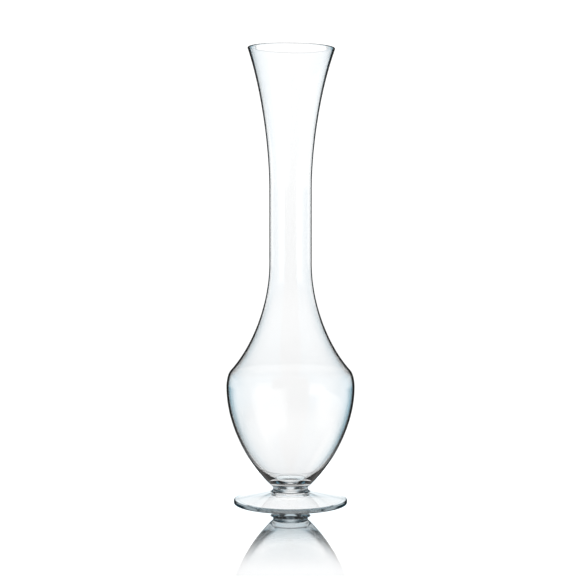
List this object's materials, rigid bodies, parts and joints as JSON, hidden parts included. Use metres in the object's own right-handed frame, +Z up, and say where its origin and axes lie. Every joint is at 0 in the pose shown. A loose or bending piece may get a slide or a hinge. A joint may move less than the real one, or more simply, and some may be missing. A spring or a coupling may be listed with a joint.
{
  "type": "flower vase",
  "caption": "Tall footed vase of clear blown glass, with a long flared neck, a shouldered tapering body and a disc foot joined by a short stem.",
  "frame": {"origin": "centre of the flat ring that the foot stands on, on the vase's axis", "axes": "+Z up the axis of the vase towards the mouth; the vase is round, so +X and +Y are any two level directions"},
  "size_m": [0.143, 0.1428, 0.508],
  "materials": {
    "bowl_glass": "fire-polished clear blown glass",
    "stem_glass": "fire-polished clear solid glass",
    "foot_glass": "fire-polished clear solid glass"
  },
  "bodies": {
    "root": {"bowl": "bowl_glass", "stem_button": "stem_glass", "foot": "foot_glass"}
  },
  "joints": []
}
